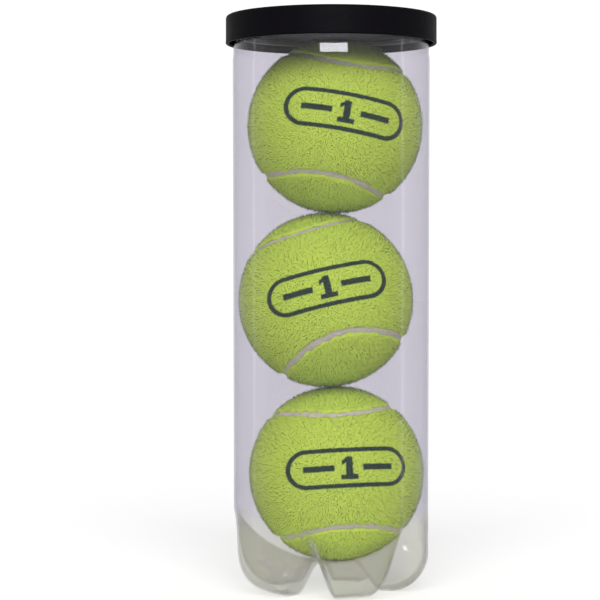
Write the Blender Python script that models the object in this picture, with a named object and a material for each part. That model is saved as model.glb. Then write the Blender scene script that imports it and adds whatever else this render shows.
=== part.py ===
"""Clear pressurised can of three tennis balls, with a ring-pull metal end and a push-on cap.

Metres, +Z up. The can stands on its five feet at z = 0 with its axis on Z and one foot along +X.
Every piece of the can takes its place from the balls: the wall from their radius, the end and the
cap from the top of the stack.
"""

import math

import bmesh
import bpy
from mathutils import Euler, Vector

MM = 0.001

# Balls
BALL_RADIUS = 33.25 * MM
BALL_GAP = 0.3 * MM
BALL_NAMES = ("ball_bottom", "ball_middle", "ball_top")
BALL_LEANS = (2.1 * MM, -2.1 * MM, 1.5 * MM)
BALL_TURNS = ((78.0, -47.5, 14.9), (-122.4, -58.5, 24.3), (93.8, 35.4, -177.8))
FELT_THICKNESS = 2.55 * MM
CORE_FIT = 0.9 * MM
CORE_WALL = 3.4 * MM
CEMENT_THICKNESS = 0.3 * MM
SEAM_WIDTH = 2.8 * MM
SEAM_RECESS = 0.55 * MM
SEAM_WAVE = 0.18

# Clear body
BALL_ROOM = 3.95 * MM
WALL = 0.55 * MM
BODY_DRAFT = 0.4 * MM
NECK_INSET = 0.3 * MM
NECK_HEIGHT = 10.75 * MM
NECK_SLOPE_HEIGHT = 3.2 * MM
FLANGE_WIDTH = 0.8 * MM
FLANGE_DROP = 1.2 * MM

# Base with feet
FEET = 5
BASE_RISE = 10.3 * MM
BASE_HEIGHT = 31.0 * MM
SEAT_GAP = 0.45 * MM
HEEL_HEIGHT = 14.4 * MM
LAND_WIDTH = 2.5 * MM
LAND_INSET = 17.15 * MM
HUB_RADIUS = 8.0 * MM
HEEL_VALLEY_INSET = 2.0 * MM
FOOT_FLANK = math.radians(22.0)

# Metal end
FIT_GAP = 0.3 * MM
METAL = 0.3 * MM
HEADSPACE = 2.1 * MM
PANEL_DEPTH = 4.95 * MM
COUNTERSINK_DEPTH = 1.7 * MM
COUNTERSINK_WIDTH = 0.4 * MM
SEAM_HEIGHT = 3.2 * MM
SEAM_CHAMFER = 0.25 * MM
BEAD_INSET = 2.6 * MM
BEAD_WIDTH = 1.6 * MM
BEAD_HEIGHT = 0.5 * MM

# Ring pull
TAB_INSET = 2.1 * MM
TAB_LENGTH = 25.0 * MM
TAB_WIDTH = 17.0 * MM
TAB_THICKNESS = 1.2 * MM
TAB_CLEARANCE = 0.5 * MM
NOSE_LENGTH = 0.6 * MM
NOSE_CORNER = 4.0 * MM
RING_CORNER = 7.5 * MM
RING_RIM = 2.8 * MM
HOLE_LENGTH = 10.0 * MM
TONGUE_START = 1.6 * MM
TONGUE_LENGTH = 7.4 * MM
TONGUE_WIDTH = 7.6 * MM
RIVET_RADIUS = 1.6 * MM
RIVET_HEAD_RADIUS = 2.6 * MM
RIVET_HEAD_HEIGHT = 0.45 * MM

# Cap
CAP_WALL = 1.0 * MM
CAP_FIT = 0.6 * MM
CAP_TOP = 1.2 * MM
CAP_HEIGHT = 10.75 * MM
CAP_BEAD_DEPTH = 0.3 * MM
CAP_BEAD_HEIGHT = 1.4 * MM
CAP_EDGE = 0.9 * MM
CAP_RIM_WIDTH = 6.5 * MM
CAP_RECESS = 0.6 * MM

# Facets
ROUND_STEPS = 60
SLOPE_STEPS = 4
HEEL_STEPS = 4
FLANK_STEPS = 2
CORE_STEPS = 20
ARC_STEPS = 5
CORNER_STEPS = 4
FELT_FACET_SAG = 0.285 * MM
SHARP_ANGLE = math.radians(35.0)

# Radii that follow
BODY_RADIUS = BALL_RADIUS + BALL_ROOM + WALL
BASE_RADIUS = BODY_RADIUS - BODY_DRAFT
LAND_RADIUS = BASE_RADIUS - LAND_INSET
HEEL_VALLEY_RADIUS = BASE_RADIUS - HEEL_VALLEY_INSET
NECK_RADIUS = BODY_RADIUS - NECK_INSET
FLANGE_RADIUS = NECK_RADIUS + FLANGE_WIDTH
CHUCK_RADIUS = NECK_RADIUS - WALL - FIT_GAP
OPENING_RADIUS = CHUCK_RADIUS - 2.0 * METAL - COUNTERSINK_WIDTH
PANEL_RADIUS = OPENING_RADIUS - FIT_GAP
TAB_START = PANEL_RADIUS - BEAD_INSET - BEAD_WIDTH - TAB_INSET
SEAM_INNER_RADIUS = FLANGE_RADIUS + FIT_GAP
SEAM_RADIUS = SEAM_INNER_RADIUS + METAL
CAP_INNER_RADIUS = SEAM_RADIUS + CAP_FIT
CAP_RADIUS = CAP_INNER_RADIUS + CAP_WALL
CORE_RADIUS = BALL_RADIUS - FELT_THICKNESS - CORE_FIT
PANEL_COLUMNS = math.ceil(math.pi / 4.0 / math.acos(1.0 - FELT_FACET_SAG / BALL_RADIUS))
PANEL_ROWS = 2 * math.ceil(1.5 * PANEL_COLUMNS)


def ball_centres():
    """Centres of the stack, bottom to top: each ball rests on the last, leaning the other way."""
    height = BASE_RISE + WALL + SEAT_GAP + BALL_RADIUS
    centres = [Vector((BALL_LEANS[0], 0.0, height))]
    for lean in BALL_LEANS[1:]:
        across = lean - centres[-1].x
        height += math.sqrt((2.0 * BALL_RADIUS + BALL_GAP) ** 2 - across**2)
        centres.append(Vector((lean, 0.0, height)))
    return centres


# Heights that follow
BALL_CENTRES = ball_centres()
PANEL_BOTTOM = BALL_CENTRES[-1].z + BALL_RADIUS + HEADSPACE
PANEL_TOP = PANEL_BOTTOM + METAL
SEAM_TOP = PANEL_TOP + PANEL_DEPTH
SEAM_BOTTOM = SEAM_TOP - SEAM_HEIGHT
FLANGE_TOP = SEAM_TOP - FLANGE_DROP
FLANGE_BOTTOM = FLANGE_TOP - WALL
NECK_BOTTOM = FLANGE_BOTTOM - NECK_HEIGHT
BODY_TOP = NECK_BOTTOM - NECK_SLOPE_HEIGHT
CAP_UNDERSIDE = SEAM_TOP + FIT_GAP
CAP_TOP_HEIGHT = CAP_UNDERSIDE + CAP_TOP
CAP_BOTTOM = CAP_TOP_HEIGHT - CAP_HEIGHT
TAB_BOTTOM = PANEL_TOP + TAB_CLEARANCE


def clear_scene():
    """Remove whatever the open scene holds."""
    for item in list(bpy.data.objects):
        bpy.data.objects.remove(item, do_unlink=True)


def material(name, colour, roughness, metallic=0.0, alpha=1.0):
    """A Principled material of one finish."""
    finish = bpy.data.materials.new(name)
    finish.use_nodes = True
    shader = finish.node_tree.nodes["Principled BSDF"]
    shader.inputs["Base Color"].default_value = (*colour, 1.0)
    shader.inputs["Roughness"].default_value = roughness
    shader.inputs["Metallic"].default_value = metallic
    shader.inputs["Alpha"].default_value = alpha
    return finish


def finished_mesh(bm, name):
    """Turn a bmesh into a mesh that faces out and is shaded smooth up to its edges."""
    bmesh.ops.recalc_face_normals(bm, faces=bm.faces[:])
    mesh = bpy.data.meshes.new(name)
    bm.to_mesh(mesh)
    bm.free()
    mesh.shade_smooth()
    mesh.set_sharp_from_angle(angle=SHARP_ANGLE)
    return mesh


def placed(name, mesh, finish, parent=None, location=(0.0, 0.0, 0.0)):
    """Put a mesh in the scene as a named object of one material."""
    piece = bpy.data.objects.new(name, mesh)
    bpy.context.scene.collection.objects.link(piece)
    if finish is not None:
        mesh.materials.clear()
        mesh.materials.append(finish)
    piece.parent = parent
    piece.location = location
    return piece


def turned(name, outline, steps=ROUND_STEPS):
    """Turn an outline of (radius, height) points about Z; one that meets the axis starts and ends there."""
    bm = bmesh.new()
    verts = [bm.verts.new((radius, 0.0, height)) for radius, height in outline]
    edges = [bm.edges.new(pair) for pair in zip(verts, verts[1:])]
    if outline[0][0] > 0.0:
        edges.append(bm.edges.new((verts[-1], verts[0])))
    bmesh.ops.spin(
        bm,
        geom=verts + edges,
        cent=(0.0, 0.0, 0.0),
        axis=(0.0, 0.0, 1.0),
        angle=2.0 * math.pi,
        steps=steps,
        use_merge=True,
    )
    bmesh.ops.remove_doubles(bm, verts=bm.verts[:], dist=1e-6)
    return finished_mesh(bm, name)


def rounded_outline(start, stop, half_width, start_radius, stop_radius):
    """Corners of a plate along X with rounded ends, anticlockwise from the far end."""
    corners = (
        (stop - stop_radius, half_width - stop_radius, stop_radius, 0.0),
        (start + start_radius, half_width - start_radius, start_radius, 90.0),
        (start + start_radius, start_radius - half_width, start_radius, 180.0),
        (stop - stop_radius, stop_radius - half_width, stop_radius, 270.0),
    )
    points = []
    for x, y, radius, first in corners:
        for step in range(CORNER_STEPS + 1):
            angle = math.radians(first + 90.0 * step / CORNER_STEPS)
            points.append((x + radius * math.cos(angle), y + radius * math.sin(angle)))
    return points


def plate(name, outline, bottom, top):
    """A flat plate of the outline's shape between two heights."""
    bm = bmesh.new()
    face = bm.faces.new([bm.verts.new((x, y, bottom)) for x, y in outline])
    bmesh.ops.remove_doubles(bm, verts=bm.verts[:], dist=1e-6)
    raised = bmesh.ops.extrude_face_region(bm, geom=[face], use_keep_orig=True)["geom"]
    lifted = [item for item in raised if isinstance(item, bmesh.types.BMVert)]
    bmesh.ops.translate(bm, verts=lifted, vec=(0.0, 0.0, top - bottom))
    return finished_mesh(bm, name)


def boolean(piece, tool, operation):
    """Join a tool to a piece or cut it away, and keep the tool out of sight as a guide."""
    tool.hide_render = True
    tool.display_type = "WIRE"
    step = piece.modifiers.new(operation.title(), "BOOLEAN")
    step.operation = operation
    step.object = tool


def valley_height(radius):
    """Height of the bowl between the feet: a sphere from the base's middle to the wall."""
    rise = BASE_HEIGHT - BASE_RISE
    sphere = (BASE_RADIUS**2 + rise**2) / (2.0 * rise)
    return BASE_RISE + sphere - math.sqrt(sphere**2 - radius**2)


def foot_share(angle):
    """How far the base reaches down to a foot at an angle: 1 on a foot, 0 in a valley."""
    pitch = 2.0 * math.pi / FEET
    from_foot = abs((angle + pitch / 2.0) % pitch - pitch / 2.0)
    share = min(1.0, (pitch / 2.0 - from_foot) / FOOT_FLANK)
    return share * share * (3.0 - 2.0 * share)


def base_stations():
    """Pairs of (radius, height) points from hub to wall: one on a foot, one in a valley."""
    stations = []
    hub_height = valley_height(HUB_RADIUS)
    for step in range(SLOPE_STEPS + 1):
        share = step / SLOPE_STEPS
        radius = HUB_RADIUS + share * (LAND_RADIUS - HUB_RADIUS)
        height = hub_height * (1.0 + math.cos(math.pi * share)) / 2.0
        stations.append(((radius, height), (radius, valley_height(radius))))
    heel = LAND_RADIUS + LAND_WIDTH
    for step in range(HEEL_STEPS + 1):
        turn = math.pi / 2.0 * step / HEEL_STEPS
        radius = heel + (BASE_RADIUS - heel) * math.sin(turn)
        height = HEEL_HEIGHT * (1.0 - math.cos(turn))
        inner = heel + (HEEL_VALLEY_RADIUS - heel) * step / HEEL_STEPS
        stations.append(((radius, height), (inner, valley_height(inner))))
    for step in range(1, FLANK_STEPS + 1):
        share = step / FLANK_STEPS
        height = HEEL_HEIGHT + share * (BASE_HEIGHT - HEEL_HEIGHT)
        inner = HEEL_VALLEY_RADIUS + share * (BASE_RADIUS - HEEL_VALLEY_RADIUS)
        stations.append(((BASE_RADIUS, height), (inner, valley_height(inner))))
    return stations


def can_body_mesh():
    """Outer skin of the body from the middle of the base up to the flange under the seam."""
    stations = base_stations()
    for point in (
        (BODY_RADIUS, BODY_TOP),
        (NECK_RADIUS, NECK_BOTTOM),
        (NECK_RADIUS, FLANGE_BOTTOM),
        (FLANGE_RADIUS, FLANGE_BOTTOM),
    ):
        stations.append((point, point))
    bm = bmesh.new()
    middle = bm.verts.new((0.0, 0.0, BASE_RISE))
    rings = []
    for foot, valley in stations:
        ring = []
        for step in range(ROUND_STEPS):
            angle = 2.0 * math.pi * step / ROUND_STEPS
            share = foot_share(angle)
            radius = valley[0] + share * (foot[0] - valley[0])
            height = valley[1] + share * (foot[1] - valley[1])
            ring.append(bm.verts.new((radius * math.cos(angle), radius * math.sin(angle), height)))
        rings.append(ring)
    for step in range(ROUND_STEPS):
        after = (step + 1) % ROUND_STEPS
        bm.faces.new((middle, rings[0][after], rings[0][step]))
        for inner, outer in zip(rings, rings[1:]):
            bm.faces.new((inner[step], inner[after], outer[after], outer[step]))
    mesh = bpy.data.meshes.new("can_body")
    bm.to_mesh(mesh)
    bm.free()
    mesh.shade_smooth()
    mesh.set_sharp_from_angle(angle=SHARP_ANGLE)
    return mesh


def build_can_body():
    """Clear blown body: one thin wall all over, so it is a skin thickened inwards."""
    clear = material("clear_plastic", (0.85, 0.83, 0.87), 0.05, alpha=0.25)
    body = placed("can_body", can_body_mesh(), clear)
    wall = body.modifiers.new("Wall", "SOLIDIFY")
    wall.thickness = WALL
    wall.offset = -1.0
    wall.use_even_offset = True


def build_end_ring():
    """Rim of the metal end: seam over the flange, chuck wall and countersink down to the score."""
    chuck_inner = CHUCK_RADIUS - METAL
    lip_outer = OPENING_RADIUS + METAL
    floor = PANEL_BOTTOM - COUNTERSINK_DEPTH
    hook_radius = NECK_RADIUS + FIT_GAP
    outline = (
        (OPENING_RADIUS, PANEL_TOP),
        (OPENING_RADIUS, floor + SEAM_CHAMFER),
        (OPENING_RADIUS + SEAM_CHAMFER, floor),
        (CHUCK_RADIUS - SEAM_CHAMFER, floor),
        (CHUCK_RADIUS, floor + SEAM_CHAMFER),
        (CHUCK_RADIUS, SEAM_TOP - METAL),
        (SEAM_INNER_RADIUS, SEAM_TOP - METAL),
        (SEAM_INNER_RADIUS, SEAM_BOTTOM + METAL),
        (hook_radius, SEAM_BOTTOM + METAL),
        (hook_radius, SEAM_BOTTOM),
        (SEAM_RADIUS - SEAM_CHAMFER, SEAM_BOTTOM),
        (SEAM_RADIUS, SEAM_BOTTOM + SEAM_CHAMFER),
        (SEAM_RADIUS, SEAM_TOP - SEAM_CHAMFER),
        (SEAM_RADIUS - SEAM_CHAMFER, SEAM_TOP),
        (chuck_inner + SEAM_CHAMFER, SEAM_TOP),
        (chuck_inner, SEAM_TOP - SEAM_CHAMFER),
        (chuck_inner, floor + METAL),
        (lip_outer, floor + METAL),
        (lip_outer, PANEL_TOP),
    )
    metal = material("end_ring_aluminium", (0.80, 0.80, 0.81), 0.28, metallic=1.0)
    placed("end_ring", turned("end_ring", outline), metal)


def build_seam_compound():
    """Sealing compound between the flange and the top of the seam."""
    top = SEAM_TOP - METAL - FIT_GAP
    bottom = FLANGE_TOP + FIT_GAP
    outline = (
        (NECK_RADIUS - WALL, bottom),
        (FLANGE_RADIUS, bottom),
        (FLANGE_RADIUS, top),
        (NECK_RADIUS - WALL, top),
    )
    rubber = material("seam_compound_rubber", (0.55, 0.50, 0.42), 0.7)
    placed("seam_compound", turned("seam_compound", outline), rubber)


def build_tear_panel():
    """Disc inside the score, with its stiffening bead and its rivet drawn from the same sheet."""
    bead_outer = PANEL_RADIUS - BEAD_INSET
    bead_inner = bead_outer - BEAD_WIDTH
    slope = BEAD_HEIGHT
    lower = (
        (0.0, PANEL_BOTTOM),
        (bead_inner, PANEL_BOTTOM),
        (bead_inner + slope, PANEL_BOTTOM + BEAD_HEIGHT),
        (bead_outer - slope, PANEL_BOTTOM + BEAD_HEIGHT),
        (bead_outer, PANEL_BOTTOM),
        (PANEL_RADIUS, PANEL_BOTTOM),
    )
    upper = tuple((radius, height + METAL) for radius, height in reversed(lower))
    metal = material("tear_panel_aluminium", (0.82, 0.82, 0.83), 0.25, metallic=1.0)
    panel = placed("tear_panel", turned("tear_panel", lower + upper), metal)

    head_bottom = PANEL_TOP + METAL + 2.0 * FIT_GAP
    head_top = head_bottom + RIVET_HEAD_HEIGHT
    button = (
        (0.0, PANEL_BOTTOM + METAL / 2.0),
        (RIVET_RADIUS, PANEL_BOTTOM + METAL / 2.0),
        (RIVET_RADIUS, head_bottom),
        (RIVET_HEAD_RADIUS, head_bottom),
        (RIVET_HEAD_RADIUS, head_top),
        (0.0, head_top),
    )
    rivet = placed("rivet_tool", turned("rivet_tool", button, CORE_STEPS), metal)
    rivet.location.x = -TAB_START + TONGUE_START + TONGUE_LENGTH / 2.0
    boolean(panel, rivet, "UNION")


def build_tab_tongue():
    """Tongue of the ring pull, held to the panel by the rivet."""
    bottom = PANEL_TOP + FIT_GAP
    outline = rounded_outline(
        TONGUE_START, TONGUE_START + TONGUE_LENGTH, TONGUE_WIDTH / 2.0, FIT_GAP, TONGUE_WIDTH / 3.0
    )
    metal = material("tab_tongue_aluminium", (0.78, 0.78, 0.79), 0.3, metallic=1.0)
    hinge = (-TAB_START, 0.0, 0.0)
    tongue = placed("tab_tongue", plate("tab_tongue", outline, bottom, bottom + METAL), metal, location=hinge)
    hole = (
        (0.0, bottom - METAL),
        (RIVET_RADIUS + FIT_GAP, bottom - METAL),
        (RIVET_RADIUS + FIT_GAP, bottom + 2.0 * METAL),
        (0.0, bottom + 2.0 * METAL),
    )
    drill = placed("tongue_drill", turned("tongue_drill", hole, CORE_STEPS), metal)
    drill.location.x = -TAB_START + TONGUE_START + TONGUE_LENGTH / 2.0
    boolean(tongue, drill, "DIFFERENCE")


def build_pull_tab():
    """Ring pull: a stiff plate with a finger hole and a window round its tongue."""
    half = TAB_THICKNESS / 2.0
    hinge = (-TAB_START, 0.0, TAB_BOTTOM + half)
    reach = TAB_LENGTH - NOSE_LENGTH
    outline = rounded_outline(-NOSE_LENGTH, reach, TAB_WIDTH / 2.0, NOSE_CORNER, RING_CORNER)
    metal = material("pull_tab_aluminium", (0.78, 0.78, 0.79), 0.3, metallic=1.0)
    tab = placed("pull_tab", plate("pull_tab", outline, -half, half), metal, location=hinge)

    hole_end = reach - RING_RIM
    hole_half = TAB_WIDTH / 2.0 - RING_RIM
    hole_corner = hole_half - FIT_GAP
    finger = rounded_outline(hole_end - HOLE_LENGTH, hole_end, hole_half, hole_corner / 2.0, hole_corner * 0.8)
    window = rounded_outline(
        TONGUE_START - FIT_GAP,
        TONGUE_START + TONGUE_LENGTH + FIT_GAP,
        TONGUE_WIDTH / 2.0 + FIT_GAP,
        FIT_GAP,
        TONGUE_WIDTH / 3.0,
    )
    for name, shape in (("finger_hole_tool", finger), ("tongue_window_tool", window)):
        tool = placed(name, plate(name, shape, -2.0 * half, 2.0 * half), metal, location=hinge)
        boolean(tab, tool, "DIFFERENCE")


def build_cap():
    """Push-on cap: a recessed top with a raised rim, and a skirt with a bead inside its lower edge."""
    rim = CAP_RADIUS - CAP_RIM_WIDTH
    recess_top = CAP_TOP_HEIGHT - CAP_RECESS
    recess_underside = CAP_UNDERSIDE - CAP_RECESS
    bead_radius = CAP_INNER_RADIUS - CAP_BEAD_DEPTH
    bead_top = CAP_BOTTOM + CAP_BEAD_HEIGHT
    outline = (
        (0.0, recess_underside),
        (rim - CAP_RECESS, recess_underside),
        (rim, CAP_UNDERSIDE),
        (CAP_INNER_RADIUS, CAP_UNDERSIDE),
        (CAP_INNER_RADIUS, bead_top),
        (bead_radius, bead_top - CAP_BEAD_DEPTH),
        (bead_radius, CAP_BOTTOM + CAP_BEAD_DEPTH),
        (CAP_INNER_RADIUS, CAP_BOTTOM),
        (CAP_RADIUS, CAP_BOTTOM),
        (CAP_RADIUS, CAP_TOP_HEIGHT - CAP_EDGE),
        (CAP_RADIUS - 0.3 * CAP_EDGE, CAP_TOP_HEIGHT - 0.3 * CAP_EDGE),
        (CAP_RADIUS - CAP_EDGE, CAP_TOP_HEIGHT),
        (rim, CAP_TOP_HEIGHT),
        (rim - CAP_RECESS, recess_top),
        (0.0, recess_top),
    )
    plastic = material("cap_plastic", (0.012, 0.010, 0.014), 0.45)
    placed("cap", turned("cap", outline), plastic)


def core_half_mesh():
    """Half of the hollow rubber core, above its cement line."""
    start = CEMENT_THICKNESS / 2.0 + FIT_GAP
    arcs = []
    for radius in (CORE_RADIUS - CORE_WALL, CORE_RADIUS):
        first = math.asin(start / radius)
        angles = [first + (math.pi / 2.0 - first) * step / ARC_STEPS for step in range(ARC_STEPS)]
        arc = [(radius * math.cos(angle), radius * math.sin(angle)) for angle in angles]
        arcs.append(arc + [(0.0, radius)])
    inner, outer = arcs
    return turned("core_half", inner[::-1] + outer, CORE_STEPS)


def seam_point(turn):
    """Direction from a ball's centre to the middle of its seam, a wave four lobes long."""
    wide = 1.0 - SEAM_WAVE
    tall = 2.0 * math.sqrt(wide * SEAM_WAVE)
    x = wide * math.cos(turn) + SEAM_WAVE * math.cos(3.0 * turn)
    y = wide * math.sin(turn) - SEAM_WAVE * math.sin(3.0 * turn)
    return Vector((x, y, tall * math.sin(2.0 * turn)))


def beside_seam(turn, offset):
    """Direction to a point beside the seam; a positive offset, in radians, is towards local +Z."""
    small = 1e-4
    here = seam_point(turn)
    along = seam_point(turn + small) - seam_point(turn - small)
    side = here.cross(along).normalized()
    return (here * math.cos(offset) + side * math.sin(offset)).normalized()


def felt_panel_mesh():
    """One dumbbell of felt: rows across it from seam to seam, from the tip of one lobe to the other."""
    edge = (SEAM_WIDTH / 2.0 + FIT_GAP) / BALL_RADIUS
    bm = bmesh.new()
    rows = []
    for row in range(PANEL_ROWS + 1):
        swing = math.pi * (row / PANEL_ROWS - 0.5)
        left = beside_seam(math.pi / 4.0 + swing, edge)
        right = beside_seam(5.0 * math.pi / 4.0 - swing, edge)
        if row in (0, PANEL_ROWS):
            rows.append([bm.verts.new(left * BALL_RADIUS)] * (PANEL_COLUMNS + 1))
            continue
        line = [left.slerp(right, column / PANEL_COLUMNS) for column in range(PANEL_COLUMNS + 1)]
        rows.append([bm.verts.new(point * BALL_RADIUS) for point in line])
    for near, far in zip(rows, rows[1:]):
        for column in range(PANEL_COLUMNS):
            corners = (near[column], near[column + 1], far[column + 1], far[column])
            bm.faces.new(list(dict.fromkeys(corners)))
    skin = bmesh.ops.extrude_face_region(bm, geom=bm.faces[:], use_keep_orig=True)["geom"]
    inner = [item for item in skin if isinstance(item, bmesh.types.BMVert)]
    bmesh.ops.scale(bm, verts=inner, vec=[1.0 - FELT_THICKNESS / BALL_RADIUS] * 3)
    return finished_mesh(bm, "felt_panel")


def seam_mesh():
    """Ring of seam rubber that fills the gap between the two panels, a little below the felt."""
    edge = SEAM_WIDTH / 2.0 / BALL_RADIUS
    inner = BALL_RADIUS - FELT_THICKNESS
    outer = BALL_RADIUS - SEAM_RECESS
    corners = ((edge, inner), (edge, outer), (-edge, outer), (-edge, inner))
    steps = 2 * PANEL_ROWS
    bm = bmesh.new()
    rings = []
    for step in range(steps):
        turn = math.pi / 4.0 + 2.0 * math.pi * step / steps
        rings.append([bm.verts.new(beside_seam(turn, side) * radius) for side, radius in corners])
    for near, far in zip(rings, rings[1:] + rings[:1]):
        for corner in range(len(corners)):
            after = (corner + 1) % len(corners)
            bm.faces.new((near[corner], near[after], far[after], far[corner]))
    return finished_mesh(bm, "ball_seam")


def build_balls():
    """Three balls: two cemented rubber halves, two felt panels and the seam that closes them."""
    rubber = material("core_rubber", (0.05, 0.05, 0.05), 0.8)
    cement = material("core_cement", (0.55, 0.50, 0.38), 0.6)
    felt = material("ball_felt", (0.45, 0.64, 0.07), 0.95)
    strip = material("ball_seam_rubber", (0.55, 0.51, 0.39), 0.7)
    half_cement = CEMENT_THICKNESS / 2.0
    glue_line = (
        (CORE_RADIUS - CORE_WALL, -half_cement),
        (CORE_RADIUS, -half_cement),
        (CORE_RADIUS, half_cement),
        (CORE_RADIUS - CORE_WALL, half_cement),
    )
    pieces = (
        ("core_half_a", core_half_mesh(), rubber, False),
        ("core_half_b", core_half_mesh(), rubber, True),
        ("core_cement", turned("core_cement", glue_line, CORE_STEPS), cement, False),
        ("felt_panel_a", felt_panel_mesh(), felt, False),
        ("felt_panel_b", felt_panel_mesh(), felt, True),
        ("seam", seam_mesh(), strip, False),
    )
    for ball, centre, turns in zip(BALL_NAMES, BALL_CENTRES, BALL_TURNS):
        holder = placed(ball + "_centre", None, None, location=centre)
        holder.rotation_euler = Euler([math.radians(turn) for turn in turns])
        for suffix, mesh, finish, flipped in pieces:
            piece = placed(ball + "_" + suffix, mesh, finish, parent=holder)
            piece.rotation_euler.x = math.pi if flipped else 0.0


def main():
    """Build the whole can."""
    clear_scene()
    build_can_body()
    build_end_ring()
    build_seam_compound()
    build_tear_panel()
    build_tab_tongue()
    build_pull_tab()
    build_cap()
    build_balls()


main()
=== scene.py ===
"""Looks of a clear pressurised can of three felt balls, with a ring-pull end and a push-on cap."""

import math

import bmesh
import bpy
import numpy as np
from bpy.props import FloatProperty, FloatVectorProperty, IntProperty, PointerProperty
from mathutils import Euler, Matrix, Vector, kdtree, noise


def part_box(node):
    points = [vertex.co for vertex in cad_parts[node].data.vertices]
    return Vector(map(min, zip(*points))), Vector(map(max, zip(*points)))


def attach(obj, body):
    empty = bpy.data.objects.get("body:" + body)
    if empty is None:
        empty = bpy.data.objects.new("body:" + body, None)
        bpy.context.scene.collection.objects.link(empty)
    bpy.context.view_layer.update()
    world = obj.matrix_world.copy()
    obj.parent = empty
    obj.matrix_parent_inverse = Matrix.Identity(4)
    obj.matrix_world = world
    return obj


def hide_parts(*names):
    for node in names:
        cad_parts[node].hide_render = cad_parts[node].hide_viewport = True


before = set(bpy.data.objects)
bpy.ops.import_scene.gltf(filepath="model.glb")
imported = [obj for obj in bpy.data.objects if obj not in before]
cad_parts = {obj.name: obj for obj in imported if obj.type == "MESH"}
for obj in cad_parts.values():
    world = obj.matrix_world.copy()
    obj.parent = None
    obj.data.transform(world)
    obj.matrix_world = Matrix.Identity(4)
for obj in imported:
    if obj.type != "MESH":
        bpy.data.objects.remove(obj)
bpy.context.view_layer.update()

bl_info = {
    "name": "Tennis Ball Can",
    "version": (1, 0, 0),
    "blender": (4, 5, 0),
    "location": "3D View > Sidebar > Ball Can",
    "description": "Builds a clear can of felt balls with its metal end, ring pull and cap",
    "category": "Add Mesh",
}

MM = 0.001
BALLS = ("ball_bottom", "ball_middle", "ball_top")
BODY_OF_BALL = {"ball_bottom": "bottom_ball", "ball_middle": "middle_ball", "ball_top": "top_ball"}


# Places read from the frame

CAN_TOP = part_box("can_body")[1].z
CAP_LOW, CAP_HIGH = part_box("cap")
RING_LOW, RING_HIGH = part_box("end_ring")
PANEL_LOW, PANEL_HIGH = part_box("tear_panel")
TAB_LOW, TAB_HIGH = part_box("pull_tab")
TONGUE_LOW, TONGUE_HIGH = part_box("tab_tongue")


def ball_centre(ball):
    """Middle of a ball: the middle of the cement ring round its core."""
    low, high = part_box(ball + "_core_cement")
    return (low + high) / 2.0


# Settings


def length_prop(name, description, default):
    """A setting that is a length in metres."""
    return FloatProperty(name=name, description=description, default=default, unit="LENGTH")


def angle_prop(name, description, degrees):
    """A setting that is an angle, given here in degrees."""
    return FloatProperty(name=name, description=description, default=math.radians(degrees), unit="ROTATION")


def number_prop(name, description, default):
    """A setting that is a plain number."""
    return FloatProperty(name=name, description=description, default=default)


def colour_prop(name, description, default):
    """A setting that is a colour."""
    return FloatVectorProperty(name=name, description=description, default=default, subtype="COLOR")


class BodySettings(bpy.types.PropertyGroup):
    """Sizes and finish of the clear body"""

    radius: length_prop("Radius", "Outer radius at the shoulder", 37.75 * MM)
    draft: length_prop("Draft", "How much narrower the base is", 0.4 * MM)
    wall: length_prop("Wall", "Thickness of the clear wall", 0.55 * MM)
    neck: length_prop("Neck", "Outer radius of the neck", 37.45 * MM)
    base_rise: length_prop("Base rise", "Height of the base's middle", 10.3 * MM)
    base_height: length_prop("Base height", "Where the valleys meet the wall", 31.0 * MM)
    wall_tint: colour_prop("Wall tint", "What one skin of the wall lets through", (0.895, 0.884, 0.913))
    base_tint: colour_prop("Base tint", "What one skin of the base lets through", (0.94, 0.937, 0.925))
    # Painted shade: a dark olive tint for the base seen edge on, in place of the dark lines that refraction
    # shows there
    painted_edge_shade: colour_prop("Edge tint", "What the base lets through edge on", (0.50, 0.48, 0.34))


class BallSettings(bpy.types.PropertyGroup):
    """Sizes and colours of the three balls"""

    radius: length_prop("Radius", "Radius of the felt", 33.25 * MM)
    felt: length_prop("Felt", "Thickness of the felt", 2.55 * MM)
    seam_width: length_prop("Seam", "Width of the seam", 2.8 * MM)
    nap: length_prop("Nap", "Length of the raised fibres", 1.5 * MM)
    fibres: IntProperty(name="Fibres", description="Raised fibres on each ball", default=36000)
    felt_colour: colour_prop("Felt", "Optic yellow of the felt", (0.56, 0.76, 0.075))
    seam_colour: colour_prop("Seam", "Rubber of the seam", (0.60, 0.56, 0.46))
    ink_colour: colour_prop("Ink", "Ink of the ball's number", (0.004, 0.028, 0.020))


class MetalSettings(bpy.types.PropertyGroup):
    """Finish of the metal end and its ring pull"""

    sheet: length_prop("Sheet", "Thickness of the rolled sheet", 0.3 * MM)
    colour: colour_prop("Metal", "Colour of the bright sheet", (0.83, 0.83, 0.84))
    # Painted shade: the near-black colour given to metal faces that look down, in place of the shade
    # beneath them
    painted_shade: colour_prop("Underside_shade", "Dark lacquer of the underside", (0.016, 0.017, 0.011))


class CapSettings(bpy.types.PropertyGroup):
    """Sizes and finish of the cap"""

    wall: length_prop("Wall", "Thickness of the skirt", 1.0 * MM)
    top: length_prop("Top", "Thickness of the top", 1.2 * MM)
    rim: length_prop("Rim", "Width of the raised rim", 6.5 * MM)
    recess: length_prop("Recess", "Depth of the recess", 0.6 * MM)
    colour: colour_prop("Plastic", "Colour of the cap", (0.0032, 0.0028, 0.0040))


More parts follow.
